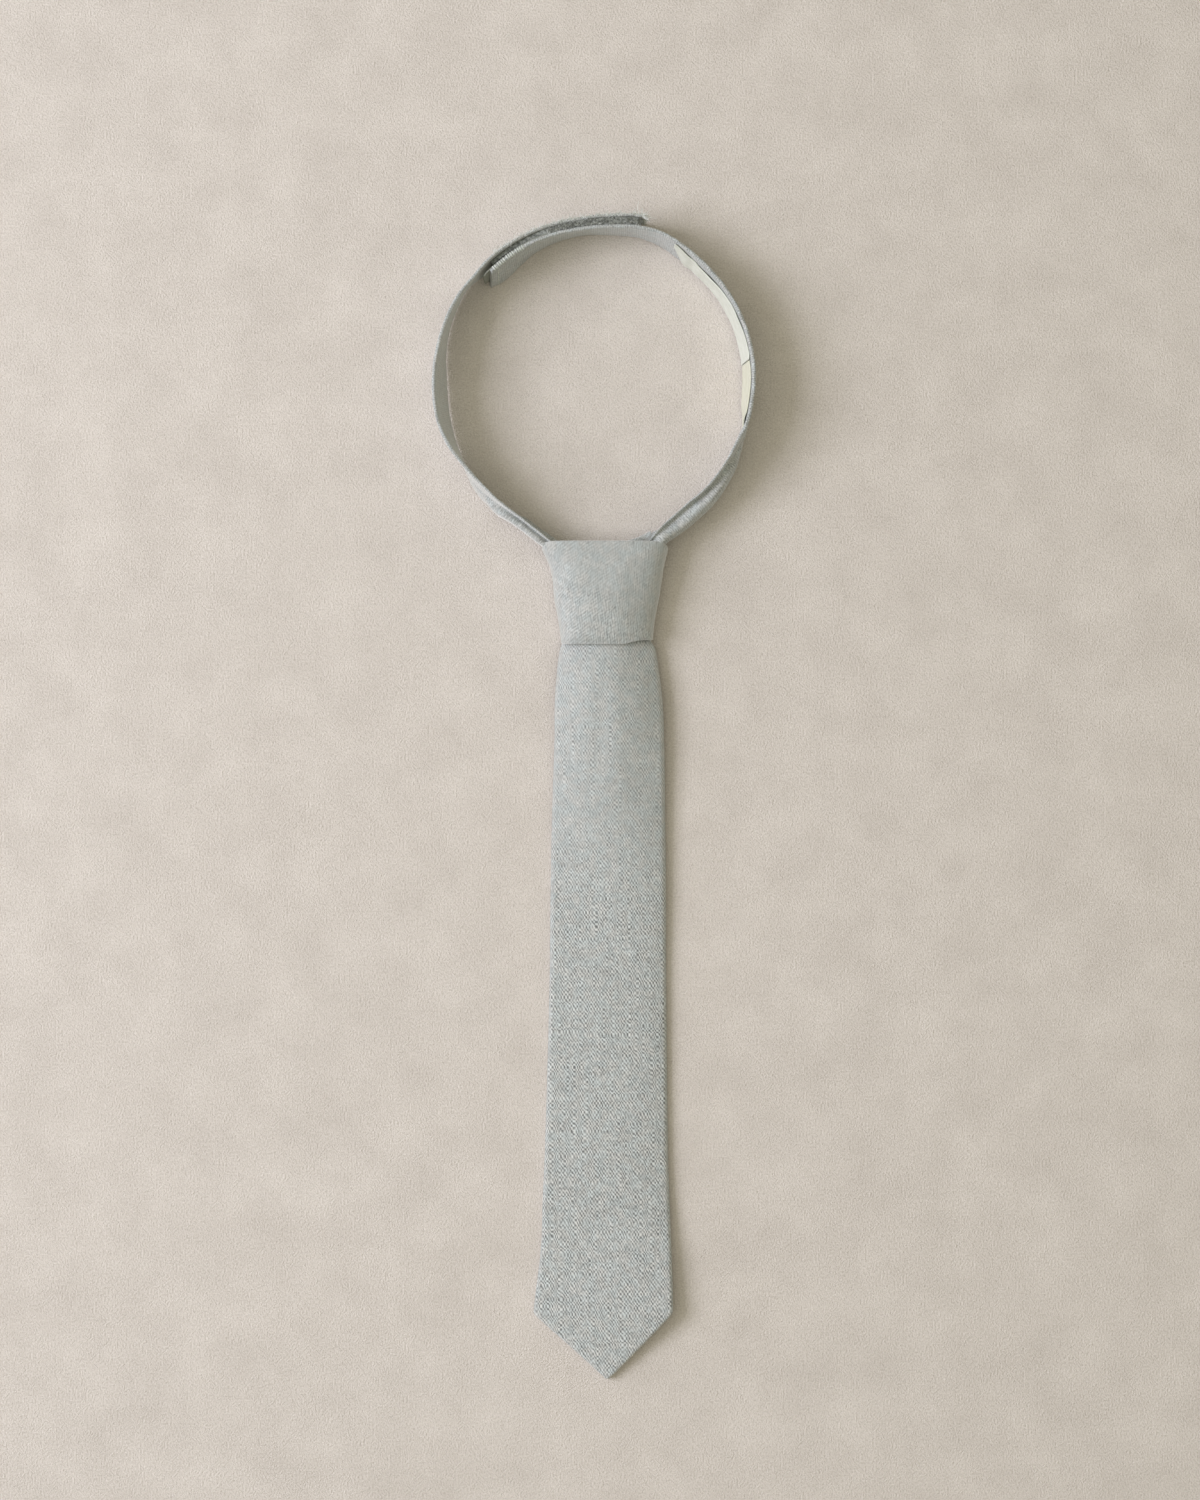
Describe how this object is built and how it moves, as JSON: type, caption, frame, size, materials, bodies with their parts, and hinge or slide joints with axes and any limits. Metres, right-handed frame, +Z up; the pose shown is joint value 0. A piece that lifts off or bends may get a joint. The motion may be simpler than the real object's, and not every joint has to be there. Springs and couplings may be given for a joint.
{
  "type": "skinny tie",
  "caption": "Child's ready-tied skinny tie in pale linen, with a flat pointed blade, a small tapered knot and a neck strap closed into a standing loop by hook-and-loop tape.",
  "frame": {"origin": "on the surface underneath, below the middle of the laid-out tie", "axes": "+X to the right seen from the front, +Y from the pointed end towards the neck loop, +Z up from the surface"},
  "size_m": [0.0896, 0.323, 0.0188],
  "materials": {
    "linen": "matt plain-weave linen",
    "loop_pile": "fuzzy grey pile",
    "hook_tape": "matt woven tape with hooks",
    "label_cream": "smooth woven ribbon",
    "label_yellow": "smooth woven ribbon"
  },
  "bodies": {
    "root": {"front_blade": "linen", "knot_front_band": "linen", "knot_inner_band": "linen", "strap_left": "linen", "strap_right": "linen", "loop_tape": "loop_pile", "hook_tape": "hook_tape", "neck_label": "label_cream", "size_label": "label_yellow"}
  },
  "joints": []
}
